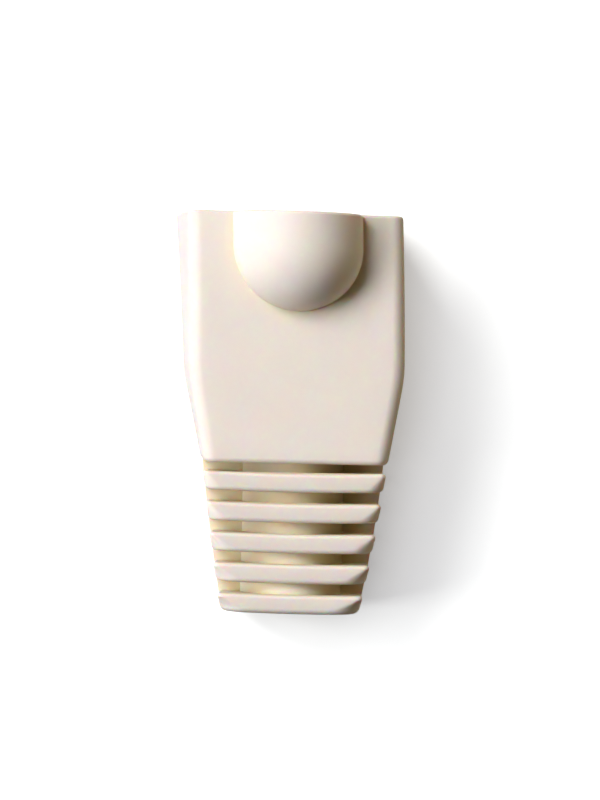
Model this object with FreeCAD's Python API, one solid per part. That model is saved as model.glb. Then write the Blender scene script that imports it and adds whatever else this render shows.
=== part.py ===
import FreeCAD, Part
import math
import os

# Slip-on strain relief boot for an eight-way modular plug, moulded in one
# piece from soft PVC. It is drawn lying on its back.
#
# Own frame, in millimetres: the cable runs along Y, and the origin is the
# centre of the cable hole in the tail's end face. +Y points out of the plug
# mouth, +Z to the face with the latch hood, and X runs across.

Vector = FreeCAD.Vector

# Plug socket: a close slip fit round the rear of the plug
plug_width = 11.7
plug_height = 8.3
plug_clearance = 0.05
socket_depth = 10.2
socket_corner_radius = 0.3
lead_in = 0.3

# Body round the socket: straight at first, then narrowing to its waist
side_wall = 1.15
face_wall = 1.1
body_length = 16.3
straight_length = 10.5
waist_width = 12.05
bend_radius = 8.0
body_edge_radius = 0.75
mouth_rim_radius = 0.2
waist_rim_radius = 0.35

# Latch hood: a hollow half capsule on the front face, open at the mouth
hood_radius = 4.25
hood_length = 6.4
hood_height = 3.8
hood_wall = 0.9

# Throat: a cone from the socket down to the cable hole
seat_ledge_width = 0.7
throat_end_height = 1.0
cable_hole_diameter = 5.4
cable_hole_chamfer = 0.2

# Flexible tail: ribs on a thin sleeve, tied at each side by a flat web
sleeve_wall = 0.65
web_thickness = 1.3
web_inset = 0.06
rib_count = 5
rib_thickness = 1.22
slot_width = 0.77
first_slot_width = 0.65
tail_setback = 0.02
tail_end_width = 9.06
tail_belly = 0.12
tail_end_depth = 8.6
tail_corner_radius_start = 0.65
tail_corner_radius_end = 1.4
rib_top_radius = 0.25
rib_bottom_radius = 0.3
tail_end_radius = 0.45
rib_top_steps = 2
rib_bottom_steps = 3

# Working allowances
cut_past = 1.0             # how far a hollow's shape runs out past the mouth or the end
join_overlap = 0.3         # how far one shape runs into the next before they are fused
most_of_rib = 0.45         # the share of a rib's thickness that one rounding may take
tolerance = 1e-4

# What follows from the sizes above
socket_width = plug_width + 2 * plug_clearance
socket_height = plug_height + 2 * plug_clearance
body_width = socket_width + 2 * side_wall
body_depth = socket_height + 2 * face_wall
front_z = body_depth / 2
rib_pitch = rib_thickness + slot_width
tail_length = first_slot_width + rib_count * rib_pitch - slot_width
mouth_y = tail_length + body_length
bend_y = mouth_y - straight_length
socket_floor_y = mouth_y - socket_depth
throat_end_y = tail_length + throat_end_height
throat_top_radius = socket_height / 2 - seat_ledge_width
cable_hole_radius = cable_hole_diameter / 2
sleeve_radius = cable_hole_radius + sleeve_wall
tail_start_width = waist_width - 2 * tail_setback
tail_start_depth = body_depth - 2 * tail_setback
hood_axis_z = front_z + hood_height - hood_radius
hood_centre_y = mouth_y - hood_length + hood_radius

along = Vector(0, 1, 0)


def rounded_rectangle(width, depth, radius, y):
    """A closed wire across the cable's axis at y, with rounded corners."""
    x = width / 2
    z = depth / 2
    bow = radius * (1 - math.sqrt(0.5))
    arcs = []
    for sx, sz in ((1, 1), (-1, 1), (-1, -1), (1, -1)):
        on_side = Vector(sx * x, y, sz * (z - radius))
        middle = Vector(sx * (x - bow), y, sz * (z - bow))
        on_face = Vector(sx * (x - radius), y, sz * z)
        points = [on_side, middle, on_face]
        if sx != sz:
            points.reverse()
        arcs.append(Part.Arc(*points).toShape())
    edges = []
    for arc, following in zip(arcs, arcs[1:] + arcs[:1]):
        end = arc.valueAt(arc.LastParameter)
        start = following.valueAt(following.FirstParameter)
        edges.append(arc)
        edges.append(Part.makeLine(end, start))
    return Part.Wire(edges)


def edges_at(shape, y):
    """The edges that lie in the plane across the cable's axis at y."""
    found = []
    for edge in shape.Edges:
        box = edge.BoundBox
        if abs(box.YMin - y) < tolerance and abs(box.YMax - y) < tolerance:
            found.append(edge)
    return found


def body_side(side):
    """One side of the body in plan: straight, a soft bend, then the taper."""
    mouth = Vector(side * body_width / 2, mouth_y, 0)
    bend = Vector(side * body_width / 2, bend_y, 0)
    waist = Vector(side * waist_width / 2, tail_length, 0)
    up = (mouth - bend).normalize()
    down = (waist - bend).normalize()
    half_turn = (math.pi - up.getAngle(down)) / 2
    reach = bend_radius * math.tan(half_turn)
    rise = bend_radius / math.cos(half_turn) - bend_radius
    bend_start = bend + up * reach
    bend_middle = bend + (up + down).normalize() * rise
    bend_end = bend + down * reach
    return [
        Part.makeLine(mouth, bend_start),
        Part.Arc(bend_start, bend_middle, bend_end).toShape(),
        Part.makeLine(bend_end, waist),
    ]


def across(width, y):
    """A straight line across the plan at y."""
    return Part.makeLine(Vector(-width / 2, y, 0), Vector(width / 2, y, 0))


def make_body():
    """The body's outside: its plan drawn through its depth, then rounded."""
    outline = body_side(1) + body_side(-1) + [across(waist_width, tail_length), across(body_width, mouth_y)]
    plan = Part.Face(Part.Wire(Part.sortEdges(outline)[0]))
    plan.translate(Vector(0, 0, -front_z))
    body = plan.extrude(Vector(0, 0, body_depth))
    long_edges = []
    for edge in body.Edges:
        box = edge.BoundBox
        if box.ZLength < tolerance and box.YLength > tolerance:
            long_edges.append(edge)
    body = body.makeFillet(body_edge_radius, long_edges)
    return body.makeFillet(waist_rim_radius, edges_at(body, tail_length))


def half_capsule(radius, open_y, root_z):
    """A vault with a round end, on straight feet that reach down to root_z."""
    end_y = hood_centre_y - radius
    knee = radius * math.sqrt(0.5)
    round_end = Part.Arc(
        Vector(0, end_y, 0),
        Vector(knee, hood_centre_y - knee, 0),
        Vector(radius, hood_centre_y, 0),
    ).toShape()
    side = Part.makeLine(Vector(radius, hood_centre_y, 0), Vector(radius, open_y, 0))
    front = Part.makeLine(Vector(radius, open_y, 0), Vector(0, open_y, 0))
    middle = Part.makeLine(Vector(0, open_y, 0), Vector(0, end_y, 0))
    right_half = Part.Face(Part.Wire([round_end, side, front, middle]))
    vault = right_half.revolve(Vector(0, 0, 0), along, -180)
    right_foot = right_half.extrude(Vector(0, 0, root_z - hood_axis_z))
    left_foot = right_foot.mirror(Vector(0, 0, 0), Vector(1, 0, 0))
    capsule = vault.fuse([right_foot, left_foot]).removeSplitter()
    capsule.translate(Vector(0, 0, hood_axis_z))
    return capsule


def make_hooded_body():
    """The body with the hood on it, and the rim of both rounded at the mouth."""
    hood = half_capsule(hood_radius, mouth_y, front_z - join_overlap)
    hooded = make_body().fuse(hood).removeSplitter()
    return hooded.makeFillet(mouth_rim_radius, edges_at(hooded, mouth_y))


def tail_half_width(y):
    """How far the tail's sides stand from its middle at y: a taper that bows out."""
    share = y / tail_length
    half_change = (tail_start_width - tail_end_width) / 2
    return tail_end_width / 2 + share * half_change + 4 * share * (1 - share) * tail_belly


def tail_section(y, inset):
    """The tail's outline at y, which shrinks and gets rounder towards the end."""
    share = y / tail_length
    width = 2 * tail_half_width(y)
    depth = tail_end_depth + share * (tail_start_depth - tail_end_depth)
    radius_change = tail_corner_radius_start - tail_corner_radius_end
    radius = tail_corner_radius_end + share * radius_change
    return rounded_rectangle(width - 2 * inset, depth - 2 * inset, radius - inset, y)


def rounding(radius, steps):
    """Points along a quarter round: how far each is from the rib's end, and how far in."""
    points = []
    for step in range(steps + 1):
        turn = math.pi / 2 * step / steps
        points.append((radius * (1 - math.sin(turn)), radius * (1 - math.cos(turn))))
    return points


def make_rib(index):
    """One rib, counted from the body, with its edges rounded all round."""
    top_y = tail_length - first_slot_width - index * rib_pitch
    bottom_y = top_y - rib_thickness
    top_radius = min(rib_top_radius, most_of_rib * rib_thickness)
    bottom_radius = rib_bottom_radius
    if index == rib_count - 1:
        bottom_radius = tail_end_radius
    bottom_radius = min(bottom_radius, most_of_rib * rib_thickness)
    sections = []
    for height, inset in reversed(rounding(bottom_radius, rib_bottom_steps)):
        sections.append(tail_section(bottom_y + height, inset))
    for height, inset in rounding(top_radius, rib_top_steps):
        sections.append(tail_section(top_y - height, inset))
    return Part.makeLoft(sections, True, True)


def make_webs():
    """The flat bar that ties the ribs together at both sides of the sleeve."""
    foot_y = rib_thickness / 2
    outline = []
    for side in (1, -1):
        bow = []
        for y in (foot_y, (foot_y + tail_length) / 2, tail_length):
            bow.append(Vector(side * (tail_half_width(y) - web_inset), y, 0))
        root = bow[2] + along * join_overlap
        outline.append(Part.Arc(*bow).toShape())
        outline.append(Part.makeLine(bow[2], root))
        outline.append(Part.makeLine(bow[0], Vector(0, bow[0].y, 0)))
        outline.append(Part.makeLine(root, Vector(0, root.y, 0)))
    plan = Part.Face(Part.Wire(Part.sortEdges(outline)[0]))
    plan.translate(Vector(0, 0, -web_thickness / 2))
    return plan.extrude(Vector(0, 0, web_thickness))


def make_sleeve():
    """The thin tube round the cable, from inside the last rib to the body."""
    foot_y = rib_thickness / 2
    length = tail_length + join_overlap - foot_y
    return Part.makeCylinder(sleeve_radius, length, Vector(0, foot_y, 0), along)


def plug_space():
    """The hollow for the plug, flared at the mouth to lead the plug in."""
    top_y = mouth_y + cut_past
    floor = rounded_rectangle(socket_width, socket_height, socket_corner_radius, socket_floor_y)
    socket = Part.Face(floor).extrude(Vector(0, top_y - socket_floor_y, 0))
    flare_y = mouth_y - lead_in
    growth = 2 * (top_y - flare_y)
    narrow = rounded_rectangle(socket_width, socket_height, socket_corner_radius, flare_y)
    wide = rounded_rectangle(socket_width + growth, socket_height + growth, socket_corner_radius, top_y)
    return [socket, Part.makeLoft([narrow, wide], True, True)]


def cable_space():
    """The hollow for the cable: a cone from the socket, a hole and its flared end."""
    throat_start = Vector(0, throat_end_y, 0)
    throat_length = socket_floor_y - throat_end_y
    throat = Part.makeCone(cable_hole_radius, throat_top_radius, throat_length, throat_start, along)
    outside = Vector(0, -cut_past, 0)
    hole = Part.makeCylinder(cable_hole_radius, throat_end_y + cut_past, outside, along)
    flare_length = cut_past + cable_hole_chamfer
    flare = Part.makeCone(cable_hole_radius + flare_length, cable_hole_radius, flare_length, outside, along)
    return [throat, hole, flare]


def latch_space():
    """The hollow under the hood, open to the socket, for the plug's latch."""
    return half_capsule(hood_radius - hood_wall, mouth_y + cut_past, 0)


def make_boot():
    """The whole moulding: the outside fused, and its hollows cut."""
    ribs = [make_rib(index) for index in range(rib_count)]
    outside = make_hooded_body().fuse([make_sleeve(), make_webs()] + ribs)
    return outside.cut(plug_space() + cable_space() + [latch_space()]).removeSplitter()


os.makedirs("parts", exist_ok=True)
boot = make_boot()
boot.exportStep("parts/boot.step")
print("boot: one solid" if len(boot.Solids) == 1 else "boot: not one solid", round(boot.Volume, 1), "mm3")
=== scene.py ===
import math

import bmesh
import bpy
from mathutils import Matrix, Vector


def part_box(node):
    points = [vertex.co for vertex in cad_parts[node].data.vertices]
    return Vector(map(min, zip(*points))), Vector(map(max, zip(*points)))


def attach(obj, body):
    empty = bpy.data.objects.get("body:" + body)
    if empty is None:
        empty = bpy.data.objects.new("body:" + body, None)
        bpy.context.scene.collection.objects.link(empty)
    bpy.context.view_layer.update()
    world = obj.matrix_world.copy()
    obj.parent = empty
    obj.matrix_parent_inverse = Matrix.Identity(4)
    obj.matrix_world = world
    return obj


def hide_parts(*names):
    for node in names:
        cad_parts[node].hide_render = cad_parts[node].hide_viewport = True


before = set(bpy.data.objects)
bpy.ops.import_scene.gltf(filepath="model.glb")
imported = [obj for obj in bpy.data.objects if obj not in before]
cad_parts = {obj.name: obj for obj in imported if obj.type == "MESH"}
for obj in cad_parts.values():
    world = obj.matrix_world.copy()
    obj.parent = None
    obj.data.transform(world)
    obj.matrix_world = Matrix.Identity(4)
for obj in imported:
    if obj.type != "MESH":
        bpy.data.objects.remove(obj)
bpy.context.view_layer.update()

mm = 0.001
mix_factor = 0
mix_first_colour = 6
mix_second_colour = 7
mix_colour_out = 2
object_place_out = 3
openness_out = 1


class Link:
    """A socket in a node tree, so that shader maths reads as an expression."""

    def __init__(self, tree, socket):
        self.tree = tree
        self.socket = socket

    @staticmethod
    def node(tree, kind, settings=None, inputs=None, output=0):
        """Adds a node: its settings first, then the values or links of its sockets."""
        made = tree.nodes.new(kind)
        for name, value in (settings or {}).items():
            setattr(made, name, value)
        for name, value in (inputs or {}).items():
            socket = made.inputs[name]
            if isinstance(value, Link):
                tree.links.new(value.socket, socket)
            else:
                socket.default_value = value
        return Link(tree, made.outputs[output])

    def maths(self, operation, first, second):
        return Link.node(self.tree, "ShaderNodeMath", {"operation": operation}, {0: first, 1: second})

    def __add__(self, other):
        return self.maths("ADD", self, other)

    def __radd__(self, other):
        return self.maths("ADD", other, self)

    def __mul__(self, other):
        return self.maths("MULTIPLY", self, other)

    def __rmul__(self, other):
        return self.maths("MULTIPLY", other, self)


def blank_material(name):
    """A material with nothing in it but its output."""
    material = bpy.data.materials.new(name)
    material.use_nodes = True
    tree = material.node_tree
    tree.nodes.clear()
    return material, tree, tree.nodes.new("ShaderNodeOutputMaterial")


def mix_colours(tree, factor, first, second):
    """The first colour where the factor is 0, and the second where it is 1."""
    sockets = {mix_factor: factor, mix_first_colour: first, mix_second_colour: second}
    return Link.node(tree, "ShaderNodeMix", {"data_type": "RGBA"}, sockets, mix_colour_out)


def noise(tree, place, size, detail, roughness=0.5):
    """Soft blotches of about the given size."""
    sockets = {"Vector": place, "Scale": 1 / size, "Detail": detail, "Roughness": roughness}
    return Link.node(tree, "ShaderNodeTexNoise", {}, sockets)


pvc_colour = (0.790, 0.700, 0.560, 1)
pvc_pale = (0.825, 0.740, 0.610, 1)
# Painted shade: a darker, warmer tone that the colour turns to in creases and corners, and how far
# such a crease reaches.
painted_crease_shade = (0.760, 0.640, 0.380, 1)
crease_shade_reach = 1.5 * mm
openness_samples = 6
mottle_size = 3.2 * mm
grain_size = 0.16 * mm
orange_peel_size = 0.9 * mm
grain_share = 0.35
orange_peel_share = 0.65
relief_strength = 0.35
relief_height = 0.02 * mm
least_roughness = 0.44
mottle_roughness = 0.12
pvc_ior = 1.5
pvc_gloss = 0.06
light_depth = 0.35 * mm
light_depth_tint = (1.0, 0.36, 0.12)


def soft_pvc():
    material, tree, out = blank_material("soft_pvc")
    place = Link.node(tree, "ShaderNodeTexCoord", output=object_place_out)
    mottle = noise(tree, place, mottle_size, 3.0, 0.55)
    grain = noise(tree, place, grain_size, 2.0, 0.6)
    peel = noise(tree, place, orange_peel_size, 2.0)
    # How open the surface is to its own surroundings; where creases and corners close it in, the
    # colour is given painted shade.
    painted_shade_openness = Link.node(
        tree,
        "ShaderNodeAmbientOcclusion",
        {"only_local": True, "samples": openness_samples},
        {"Distance": crease_shade_reach},
        openness_out,
    )
    colour = mix_colours(tree, painted_shade_openness, painted_crease_shade, mix_colours(tree, mottle, pvc_colour, pvc_pale))
    height = grain_share * grain + orange_peel_share * peel
    relief = {"Height": height, "Strength": relief_strength, "Distance": relief_height}
    shader = Link.node(
        tree,
        "ShaderNodeBsdfPrincipled",
        {},
        {
            "Base Color": colour,
            "Roughness": least_roughness + mottle_roughness * mottle,
            "IOR": pvc_ior,
            "Specular IOR Level": pvc_gloss,
            "Subsurface Weight": 1.0,
            "Subsurface Radius": light_depth_tint,
            "Subsurface Scale": light_depth,
            "Normal": Link.node(tree, "ShaderNodeBump", {}, relief),
        },
    )
    tree.links.new(shader.socket, out.inputs["Surface"])
    return material


# ---- The moulding's rings
# The boot is built up in millimetres from closed rings across the cable's axis, lofted
# one after another. Its soft walls have taken a slight lean, bow and skew.
low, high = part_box("boot")
body_half_width = high.x / mm
body_half_depth = -low.z / mm
mouth_y = high.y / mm
body_length = 16.3
tail_length = mouth_y - body_length
middle_y = mouth_y / 2

wall_lean = 0.055
side_bow = 0.27
side_turn = 0.04
end_skew = 0.021
skew_gain = 0.010
rib_curl = 0.003
corner_steps = 12
wide_steps = 16
deep_steps = 12
round_steps = 6
circle_steps = 96
length_steps = 12


def settle(point):
    """Where a point of the straight moulding lies in the slightly misshapen one."""
    x, y, z = point
    share = (y - middle_y) / middle_y
    sideways = z * wall_lean * share + side_bow * (0.5 - share * share) - side_turn * share
    lengthways = -(end_skew + skew_gain * share * share) * x
    if y < tail_length:
        lengthways += rib_curl * x * x
    return Vector((x + sideways, y + lengthways, z))


def rounded_ring(half_width, half_depth, radius, y):
    """Points round a rectangle with rounded corners, always the same number."""
    bends = []
    corners = ((1, 1, 0), (-1, 1, 1), (-1, -1, 2), (1, -1, 3))
    for side, face, quarter in corners:
        for step in range(corner_steps + 1):
            turn = (quarter + step / corner_steps) * math.pi / 2
            x = side * (half_width - radius) + radius * math.cos(turn)
            z = face * (half_depth - radius) + radius * math.sin(turn)
            bends.append(Vector((x, y, z)))
    ring = []
    for index, point in enumerate(bends):
        ring.append(point)
        ends_bend = (index + 1) % (corner_steps + 1) == 0
        if ends_bend:
            following = bends[(index + 1) % len(bends)]
            runs_across = abs(following.x - point.x) > abs(following.z - point.z)
            steps = wide_steps if runs_across else deep_steps
            for step in range(1, steps):
                ring.append(point.lerp(following, step / steps))
    return ring


def round_ring(radius, y):
    """Points round a circle on the cable's axis."""
    ring = []
    for step in range(circle_steps):
        turn = 2 * math.pi * step / circle_steps
        ring.append(Vector((radius * math.cos(turn), y, radius * math.sin(turn))))
    return ring


def evenly(start, end):
    """Places from start to end, all the same distance apart."""
    return [start + (end - start) * step / length_steps for step in range(length_steps + 1)]


def loft(name, rings):
    """A closed solid through rings of equal length, with a flat face at each end."""
    mesh = bmesh.new()
    rows = [[mesh.verts.new(point) for point in ring] for ring in rings]
    count = len(rings[0])
    for row, following in zip(rows, rows[1:]):
        for index in range(count):
            beside = (index + 1) % count
            mesh.faces.new((row[index], row[beside], following[beside], following[index]))
    mesh.faces.new(rows[0])
    mesh.faces.new(reversed(rows[-1]))
    bmesh.ops.recalc_face_normals(mesh, faces=mesh.faces)
    data = bpy.data.meshes.new(name)
    mesh.to_mesh(data)
    mesh.free()
    solid = bpy.data.objects.new(name, data)
    bpy.context.scene.collection.objects.link(solid)
    return solid


def quarter_round(radius):
    """How far below an end, and how far in, each ring of a rounded edge lies."""
    if radius == 0:
        return [(0.0, 0.0)]
    points = []
    for step in range(round_steps + 1):
        turn = math.pi / 2 * step / round_steps
        points.append((radius * (1 - math.sin(turn)), radius * (1 - math.cos(turn))))
    return points


# ---- Body
# The wide box that slips over the rear of the plug. It runs straight down from the
# mouth, bends softly and narrows to a waist, with every outer edge rounded.
straight_length = 10.5
waist_half_width = 12.05 / 2
bend_radius = 8.0
body_edge_radius = 0.90
mouth_rim_radius = 0.20
waist_rim_radius = 0.35
ring_spacing = 0.8


def body_half_width_at(y):
    """Half the body's width at y, straight above the soft bend and tapered below."""
    bend_y = mouth_y - straight_length
    slope = (body_half_width - waist_half_width) / (bend_y - tail_length)
    turn = math.atan(slope)
    reach = bend_radius * math.tan(turn / 2)
    start = bend_y + reach
    end = bend_y - reach * math.cos(turn)
    if y >= start:
        return body_half_width
    if y <= end:
        return body_half_width - slope * (bend_y - y)
    return body_half_width - bend_radius + math.sqrt(bend_radius**2 - (start - y) ** 2)


def body_rings():
    """Rings from the waist to the mouth, closer together on the two rounded rims."""
    places = []
    for height, inset in quarter_round(waist_rim_radius):
        places.append((tail_length + height, inset))
    spans = round((body_length - waist_rim_radius - mouth_rim_radius) / ring_spacing)
    first = tail_length + waist_rim_radius
    last = mouth_y - mouth_rim_radius
    for step in range(1, spans):
        places.append((first + (last - first) * step / spans, 0.0))
    for height, inset in quarter_round(mouth_rim_radius):
        places.append((mouth_y - height, inset))
    rings = []
    for y, inset in sorted(places):
        half_width = body_half_width_at(y) - inset
        rings.append(rounded_ring(half_width, body_half_depth - inset, body_edge_radius - inset, y))
    return rings


body = loft("body", body_rings())

# ---- Latch hood
# A hollow half dome on the front face that shelters the plug's latch. It is open at
# the mouth and closes in a quarter of a ball on the side of the tail.
hood_radius = 4.25
hood_length = 6.4
hood_wall = 0.9
hood_shift = 0.08
hood_axis_z = high.z / mm - hood_radius
hood_centre_y = mouth_y - hood_length + hood_radius
arch_steps = 64
ball_steps = 32
foot_steps = 4


def arch(radius, y, root_z):
    """A half circle over the hood's axis, on straight feet down to root_z."""
    ring = []
    for step in range(arch_steps + 1):
        turn = math.pi * step / arch_steps
        x = hood_shift + radius * math.cos(turn)
        ring.append(Vector((x, y, hood_axis_z + radius * math.sin(turn))))
    for step in range(1, foot_steps + 1):
        z = hood_axis_z + (root_z - hood_axis_z) * step / foot_steps
        ring.append(Vector((hood_shift - radius, y, z)))
    for step in range(foot_steps):
        z = root_z + (hood_axis_z - root_z) * step / foot_steps
        ring.append(Vector((hood_shift + radius, y, z)))
    return ring


def vault(name, radius, end_y, rim_radius, root_z):
    """The hood's shape at a given radius, out to end_y, with its last edge rounded."""
    rings = []
    for step in range(1, ball_steps + 1):
        turn = math.pi / 2 * step / ball_steps
        y = hood_centre_y - radius * math.cos(turn)
        rings.append(arch(radius * math.sin(turn), y, root_z))
    for height, inset in quarter_round(rim_radius):
        rings.append(arch(radius - inset, end_y - height, root_z))
    return loft(name, rings)


overlap = 0.3
hood = vault("hood", hood_radius, mouth_y, mouth_rim_radius, body_half_depth - overlap)

# ---- Flexible tail
# Five ribs on a thin sleeve round the cable, tied at each side by a flat web. The
# slots between them let the tail bend; the ribs get narrower and rounder downwards.
rib_count = 5
rib_thickness = 1.22
slot_width = 0.77
first_slot_width = 0.65
tail_setback = 0.02
tail_end_half_width = 9.06 / 2
tail_belly = 0.12
tail_end_half_depth = 8.4 / 2
corner_radius = 0.4
foot_radius_start = 0.9
foot_radius_end = 1.75
rib_top_radius = 0.25
rib_bottom_radius = 0.30
tail_end_radius = 0.38
cable_hole_radius = 2.7
sleeve_wall = 0.65
sleeve_rise = 0.45
web_half_thickness = 0.50
web_inset = 0.02
core_start_y = rib_thickness / 2
core_end_y = tail_length + overlap


def tail_half_width(y):
    """How far the tail's sides stand from its middle at y: a taper that bows out."""
    share = min(y / tail_length, 1)
    taper = share * (waist_half_width - tail_setback - tail_end_half_width)
    return tail_end_half_width + taper + 4 * share * (1 - share) * tail_belly


def tail_ring(y, inset, corner):
    """The tail's outline at y, drawn in by the inset all round."""
    share = y / tail_length
    taper = share * (body_half_depth - tail_setback - tail_end_half_depth)
    half_depth = tail_end_half_depth + taper
    return rounded_ring(tail_half_width(y) - inset, half_depth - inset, corner - inset, y)


def make_rib(index):
    """A rib, counted from the body, whose corners grow from its top to its foot."""
    top_y = tail_length - first_slot_width - index * (rib_thickness + slot_width)
    bottom_y = top_y - rib_thickness
    bottom_radius = tail_end_radius if index == rib_count - 1 else rib_bottom_radius
    foot_radius = foot_radius_end + bottom_y / tail_length * (foot_radius_start - foot_radius_end)
    rings = []
    for height, inset in quarter_round(bottom_radius):
        rings.append(tail_ring(bottom_y + height, inset, foot_radius))
    for height, inset in quarter_round(rib_top_radius):
        rings.append(tail_ring(top_y - height, inset, corner_radius))
    rings.sort(key=lambda ring: ring[0].y)
    return loft(f"rib_{index + 1}", rings)


def make_sleeve():
    """The sleeve round the cable, a little further out at its front and back."""
    radius = cable_hole_radius + sleeve_wall
    stretch = 1 + sleeve_rise / radius
    rings = []
    for place in evenly(core_start_y, core_end_y):
        rings.append([Vector((x, y, z * stretch)) for x, y, z in round_ring(radius, place)])
    return loft("sleeve", rings)


def make_webs():
    """One flat bar across the tail, which shows as a web at each side of the sleeve."""
    z = web_half_thickness
    rings = []
    for y in evenly(core_start_y, core_end_y):
        x = tail_half_width(y) - web_inset
        rings.append([Vector(corner) for corner in ((x, y, -z), (x, y, z), (-x, y, z), (-x, y, -z))])
    return loft("webs", rings)


ribs = [make_rib(index) for index in range(rib_count)]

# ---- Hollows
# The plug's socket with a flared lip, the latch's space under the hood, the funnel
# below the socket and the cable's hole, all cut out of the moulding at once.
socket_half_width = 11.8 / 2
socket_half_depth = 8.4 / 2
socket_corner_radius = 0.3
socket_depth = 10.2
lead_in = 0.3
cut_past = 1.0
seat_ledge_width = 0.7
throat_end_height = 1.0
cable_hole_chamfer = 0.2
socket_floor_y = mouth_y - socket_depth
smooth_angle = math.radians(35)


def make_socket():
    """The space for the plug, with a lip that flares out to the mouth and past it."""
    rings = []
    for y in evenly(socket_floor_y, mouth_y - lead_in):
        rings.append(rounded_ring(socket_half_width, socket_half_depth, socket_corner_radius, y))
    growth = lead_in + cut_past
    half_width = socket_half_width + growth
    half_depth = socket_half_depth + growth
    rings.append(rounded_ring(half_width, half_depth, socket_corner_radius, mouth_y + cut_past))
    return loft("socket", rings)


def make_cable_space():
    """The cable's hole with a chamfer at the tail's end, and the funnel above it."""
    throat_end_y = tail_length + throat_end_height
    throat_radius = socket_half_depth - seat_ledge_width
    rings = [round_ring(cable_hole_radius + cut_past + cable_hole_chamfer, -cut_past)]
    for y in evenly(cable_hole_chamfer, throat_end_y):
        rings.append(round_ring(cable_hole_radius, y))
    rings.append(round_ring(throat_radius, socket_floor_y))
    rings.append(round_ring(throat_radius, socket_floor_y + overlap))
    return loft("cable_space", rings)


latch_space = vault("latch_space", hood_radius - hood_wall, mouth_y + cut_past, 0.0, 0.0)


def combine(target, others, operation):
    """Joins or cuts the target with the other solids, and takes those away."""
    for other in others:
        modifier = target.modifiers.new(other.name, "BOOLEAN")
        modifier.operation = operation
        modifier.solver = "MANIFOLD"
        modifier.object = other
        depsgraph = bpy.context.evaluated_depsgraph_get()
        result = bpy.data.meshes.new_from_object(target.evaluated_get(depsgraph))
        target.modifiers.clear()
        target.data = result
        bpy.data.objects.remove(other)
    return target


boot = combine(body, [hood, make_sleeve(), make_webs()] + ribs, "UNION")
boot = combine(boot, [make_socket(), make_cable_space(), latch_space], "DIFFERENCE")
boot.name = "boot_moulding"
for vertex in boot.data.vertices:
    vertex.co = settle(vertex.co) * mm
boot.data.materials.clear()
boot.data.materials.append(soft_pvc())
for polygon in boot.data.polygons:
    polygon.use_smooth = True
    polygon.material_index = 0
boot.data.set_sharp_from_angle(angle=smooth_angle)

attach(boot, "root")
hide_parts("boot")

# ---- Table and light
# A plain white table, two large and slightly cool lamps at the upper left, a weak warm
# one low at the right, and a room that looks white but gives hardly any light.
table_size = 0.40
table_bounce = (0.20, 0.15, 0.09, 1)
table_shade = (0.89, 0.86, 0.71, 1)
table_glow = 0.635
table_light = (0.975, 1.00, 1.05, 1)
# Painted contact shadow: the colour that the table's glow fades to beside the boot, and how far out
# it reaches.
painted_contact_shadow = (0.00, 0.00, 0.00, 1)
painted_shadow_reach = 4.3 * mm
room_colour = (0.026, 0.017, 0.007, 1)
daylight = (1.0, 1.05, 1.24)
lamplight = (1.0, 0.86, 0.62)
light_distance = 0.6
white = (1.0, 1.0, 1.0, 1)


def seen_directly(tree):
    """1 for what the eye sees, also in gloss or through glass, and 0 for other light."""
    rays = tree.nodes.new("ShaderNodeLightPath")
    seen = Link(tree, rays.outputs["Is Camera Ray"])
    seen = seen.maths("MAXIMUM", seen, Link(tree, rays.outputs["Is Glossy Ray"]))
    return seen.maths("MAXIMUM", seen, Link(tree, rays.outputs["Is Transmission Ray"]))


def white_table():
    """A white sheet with some light of its own, which only the eye and gloss see, darkened near the
    boot by a painted contact shadow.
    """
    material, tree, out = blank_material("white_table")
    seen = seen_directly(tree)
    plain = Link.node(tree, "ShaderNodeBsdfDiffuse", {}, {"Color": table_bounce})
    shaded = Link.node(tree, "ShaderNodeBsdfDiffuse", {}, {"Color": table_shade})
    painted_shade_openness = Link.node(
        tree,
        "ShaderNodeAmbientOcclusion",
        {"samples": openness_samples},
        {"Distance": painted_shadow_reach},
        openness_out,
    )
    # The glow fades to black where the boot closes the table in: a painted contact shadow.
    glow_colour = mix_colours(tree, painted_shade_openness, painted_contact_shadow, table_light)
    glow = Link.node(tree, "ShaderNodeEmission", {}, {"Color": glow_colour, "Strength": table_glow})
    bright = Link.node(tree, "ShaderNodeAddShader", {}, {0: shaded, 1: glow})
    shader = Link.node(tree, "ShaderNodeMixShader", {}, {0: seen, 1: plain, 2: bright})
    tree.links.new(shader.socket, out.inputs["Surface"])
    return material


table_mesh = bpy.data.meshes.new("table")
table_half = table_size / 2
table_corners = []
for side, end in ((-1, -1), (1, -1), (1, 1), (-1, 1)):
    table_corners.append((side * table_half, end * table_half, low.z))
table_mesh.from_pydata(table_corners, [], [(0, 1, 2, 3)])
table_mesh.materials.append(white_table())
table = bpy.data.objects.new("table", table_mesh)
bpy.context.scene.collection.objects.link(table)


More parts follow.
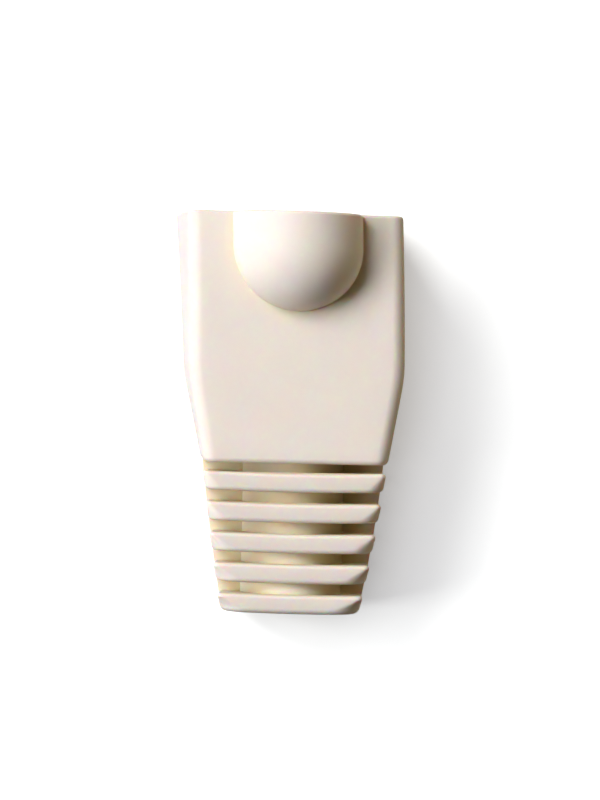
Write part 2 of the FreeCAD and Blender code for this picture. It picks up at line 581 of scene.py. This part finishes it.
def soft_light(name, azimuth, elevation, size, power, colour):
    """A square lamp that faces the boot. Azimuth 0 is its right, and 90 its mouth."""
    data = bpy.data.lights.new(name, "AREA")
    data.shape = "SQUARE"
    data.size = size
    data.energy = power
    data.color = colour
    lamp = bpy.data.objects.new(name, data)
    turn = math.radians(azimuth)
    rise = math.radians(elevation)
    level = math.cos(rise)
    away = Vector((math.cos(turn) * level, math.sin(turn) * level, math.sin(rise)))
    lamp.location = Vector((0, middle_y * mm, 0)) + away * light_distance
    lamp.rotation_euler = away.to_track_quat("Z", "Y").to_euler()
    bpy.context.scene.collection.objects.link(lamp)


soft_light("mouth_light", 136, 45, 0.28, 3.00, daylight)
soft_light("side_light", 180, 35, 0.28, 2.64, daylight)
soft_light("right_fill", 24, 7, 0.20, 0.78, lamplight)

world = bpy.data.worlds.new("pale_room")
world.use_nodes = True
room = world.node_tree
room.nodes.clear()
room_tone = mix_colours(room, seen_directly(room), room_colour, white)
background = Link.node(room, "ShaderNodeBackground", {}, {"Color": room_tone, "Strength": 1.0})
room_out = room.nodes.new("ShaderNodeOutputWorld")
room.links.new(background.socket, room_out.inputs["Surface"])
bpy.context.scene.world = world

# ---- Camera
# It looks almost straight down on the boot, a little from its left, through a long
# lens, so that the walls hardly spread.
camera_place = Vector((-13.265, 16.36, 280.0)) * mm
camera_aim = Vector((0.335, 13.985, 5.3)) * mm
lens_length = 190.7
sensor_width = 36.0
nearest_seen = 0.01

camera_data = bpy.data.cameras.new("camera")
camera_data.lens = lens_length
camera_data.sensor_width = sensor_width
camera_data.clip_start = nearest_seen
camera = bpy.data.objects.new("camera", camera_data)
backward = (camera_place - camera_aim).normalized()
rightward = Vector((0, 1, 0)).cross(backward).normalized()
upward = backward.cross(rightward)
turned = Matrix((rightward, upward, backward)).transposed().to_4x4()
camera.matrix_world = Matrix.Translation(camera_place) @ turned
bpy.context.scene.collection.objects.link(camera)
bpy.context.scene.camera = camera
bpy.context.scene.view_settings.view_transform = "Standard"
